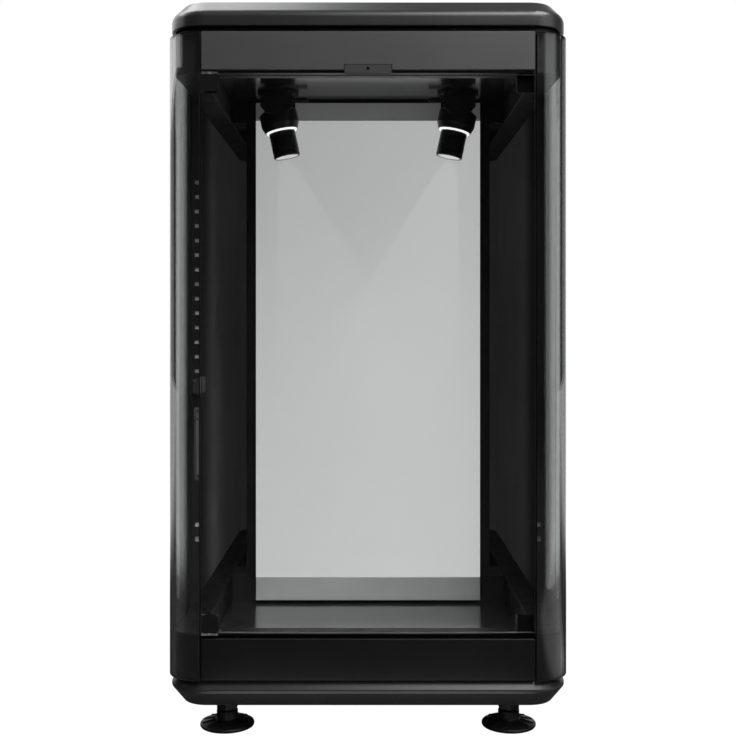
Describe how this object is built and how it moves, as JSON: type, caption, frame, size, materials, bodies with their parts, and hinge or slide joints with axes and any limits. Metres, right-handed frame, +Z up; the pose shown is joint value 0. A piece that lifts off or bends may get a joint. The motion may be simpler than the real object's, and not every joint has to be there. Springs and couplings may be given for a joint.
{
  "type": "glass-sided equipment enclosure",
  "caption": "Tall rigid enclosure with bent glass sides, hinged glass door, lit inner panel, tilting spotlights and levelling feet.",
  "frame": {"origin": "middle of the footprint, at the height of the foot soles", "axes": "+Z up; the glass door faces -Y; +X is to the right for someone facing the door"},
  "size_m": [0.38, 0.5615, 0.6907],
  "materials": {
    "satin_black": "satin",
    "frame_black": "matte",
    "gloss_black": "gloss",
    "lining_charcoal": "satin",
    "clear_glass": "polished",
    "diffuser": "frosted",
    "grey_channel": "anodised",
    "circuit_board": "matte",
    "bright_steel": "satin",
    "fitting_metal": "satin",
    "black_plastic": "matte",
    "driver_case": "satin",
    "status_lens": "gloss",
    "brass": "turned",
    "foot_pad": "satin",
    "foot_steel": "black oxide",
    "lamp_black": "satin",
    "lamp_screw": "knurled",
    "bezel_white": "frosted",
    "led_chip": "matte",
    "lamp_lens": "clear"
  },
  "bodies": {
    "root": {"base_tray": "satin_black", "cap_shell": "satin_black", "header_fascia": "satin_black", "plinth_fascia": "satin_black", "plinth_ring": "frame_black", "header_ring": "frame_black", "lower_cross_beam": "frame_black", "upper_cross_beam": "frame_black", "cap_base_plate": "frame_black", "base_underplate": "frame_black", "spine_posts": "frame_black", "rear_panel": "frame_black", "light_back_cover": "frame_black", "floor_panel": "gloss_black", "ceiling_panel": "gloss_black", "side_lining_left": "lining_charcoal", "side_lining_right": "lining_charcoal", "side_glass_left": "clear_glass", "side_glass_right": "clear_glass", "light_diffuser": "diffuser", "light_channel_top": "grey_channel", "light_channel_bottom": "grey_channel", "light_board": "circuit_board", "rear_panel_screws": "bright_steel", "door_pivot_pins": "bright_steel", "door_magnets": "black_plastic", "door_catch": "black_plastic", "power_inlet": "black_plastic", "control_module": "black_plastic", "led_driver": "driver_case", "status_light": "status_lens", "foot_inserts": "brass", "lamp_roses": "lamp_black"},
    "door": {"door_glass": "clear_glass", "door_pivot_fittings": "fitting_metal", "door_strike_plates": "fitting_metal"},
    "control_button": {"control_button": "black_plastic"},
    "power_rocker": {"power_rocker": "black_plastic"},
    "lamp_yoke_left": {"lamp_yoke_left": "lamp_black", "lamp_lock_screw_left": "lamp_screw"},
    "lamp_head_left": {"lamp_housing_left": "lamp_black", "lamp_bezel_left": "bezel_white", "lamp_led_left": "led_chip"},
    "lamp_snoot_left": {"lamp_snoot_left": "lamp_black", "lamp_lens_left": "lamp_lens"},
    "lamp_yoke_right": {"lamp_yoke_right": "lamp_black", "lamp_lock_screw_right": "lamp_screw"},
    "lamp_head_right": {"lamp_housing_right": "lamp_black", "lamp_bezel_right": "bezel_white", "lamp_led_right": "led_chip"},
    "lamp_snoot_right": {"lamp_snoot_right": "lamp_black", "lamp_lens_right": "lamp_lens"},
    "foot_front_left": {"foot_pad_front_left": "foot_pad"},
    "foot_stem_front_left": {"foot_stem_front_left": "foot_steel"},
    "foot_front_right": {"foot_pad_front_right": "foot_pad"},
    "foot_stem_front_right": {"foot_stem_front_right": "foot_steel"},
    "foot_rear_left": {"foot_pad_rear_left": "foot_pad"},
    "foot_stem_rear_left": {"foot_stem_rear_left": "foot_steel"},
    "foot_rear_right": {"foot_pad_rear_right": "foot_pad"},
    "foot_stem_rear_right": {"foot_stem_rear_right": "foot_steel"}
  },
  "joints": [
    {"name": "door_swing", "type": "hinge", "parent": "root", "child": "door", "pos_m": [-0.148, -0.2775, 0.36], "axis": [0, 0, 1], "range_deg": [-110, 0]},
    {"name": "control_button_press", "type": "slide", "parent": "root", "child": "control_button", "axis": [-1, 0, 0], "range_m": [0, 0.001], "stiffness_N_per_m": 900, "springref_m": -0.0006},
    {"name": "power_rocker_tilt", "type": "hinge", "parent": "root", "child": "power_rocker", "pos_m": [0.107, 0.275, 0.14], "axis": [1, 0, 0], "range_deg": [-14, 0]},
    {"name": "lamp_pan_left", "type": "hinge", "parent": "root", "child": "lamp_yoke_left", "pos_m": [-0.1003, -0.076, 0.64], "axis": [0, 0, 1], "range_deg": [-170, 170]},
    {"name": "lamp_tilt_left", "type": "hinge", "parent": "lamp_yoke_left", "child": "lamp_head_left", "pos_m": [-0.1003, -0.076, 0.622], "axis": [0, -1, 0], "range_deg": [-42, 18]},
    {"name": "lamp_zoom_left", "type": "slide", "parent": "lamp_head_left", "child": "lamp_snoot_left", "axis": [0.2079, 0, -0.9781], "range_m": [-0.01, 0]},
    {"name": "lamp_pan_right", "type": "hinge", "parent": "root", "child": "lamp_yoke_right", "pos_m": [0.1003, -0.076, 0.64], "axis": [0, 0, 1], "range_deg": [-170, 170]},
    {"name": "lamp_tilt_right", "type": "hinge", "parent": "lamp_yoke_right", "child": "lamp_head_right", "pos_m": [0.1003, -0.076, 0.622], "axis": [0, 1, 0], "range_deg": [-42, 18]},
    {"name": "lamp_zoom_right", "type": "slide", "parent": "lamp_head_right", "child": "lamp_snoot_right", "axis": [-0.2079, 0, -0.9781], "range_m": [-0.01, 0]},
    {"name": "foot_height_front_left", "type": "slide", "parent": "root", "child": "foot_front_left", "axis": [0, 0, 1], "range_m": [-0.004, 0.003]},
    {"name": "foot_turn_front_left", "type": "hinge", "parent": "foot_front_left", "child": "foot_stem_front_left", "pos_m": [-0.136, -0.24, 0.012], "axis": [0, 0, 1], "range_deg": [-1200, 1200]},
    {"name": "foot_height_front_right", "type": "slide", "parent": "root", "child": "foot_front_right", "axis": [0, 0, 1], "range_m": [-0.004, 0.003]},
    {"name": "foot_turn_front_right", "type": "hinge", "parent": "foot_front_right", "child": "foot_stem_front_right", "pos_m": [0.136, -0.24, 0.012], "axis": [0, 0, 1], "range_deg": [-1200, 1200]},
    {"name": "foot_height_rear_left", "type": "slide", "parent": "root", "child": "foot_rear_left", "axis": [0, 0, 1], "range_m": [-0.004, 0.003]},
    {"name": "foot_turn_rear_left", "type": "hinge", "parent": "foot_rear_left", "child": "foot_stem_rear_left", "pos_m": [-0.136, 0.24, 0.012], "axis": [0, 0, 1], "range_deg": [-1200, 1200]},
    {"name": "foot_height_rear_right", "type": "slide", "parent": "root", "child": "foot_rear_right", "axis": [0, 0, 1], "range_m": [-0.004, 0.003]},
    {"name": "foot_turn_rear_right", "type": "hinge", "parent": "foot_rear_right", "child": "foot_stem_rear_right", "pos_m": [0.136, 0.24, 0.012], "axis": [0, 0, 1], "range_deg": [-1200, 1200]}
  ],
  "couplings": [
    {"joint": "foot_turn_front_left", "follows": "foot_height_front_left", "rad_per_m": 3590.4},
    {"joint": "foot_turn_front_right", "follows": "foot_height_front_right", "rad_per_m": 3590.4},
    {"joint": "foot_turn_rear_left", "follows": "foot_height_rear_left", "rad_per_m": 3590.4},
    {"joint": "foot_turn_rear_right", "follows": "foot_height_rear_right", "rad_per_m": 3590.4}
  ]
}
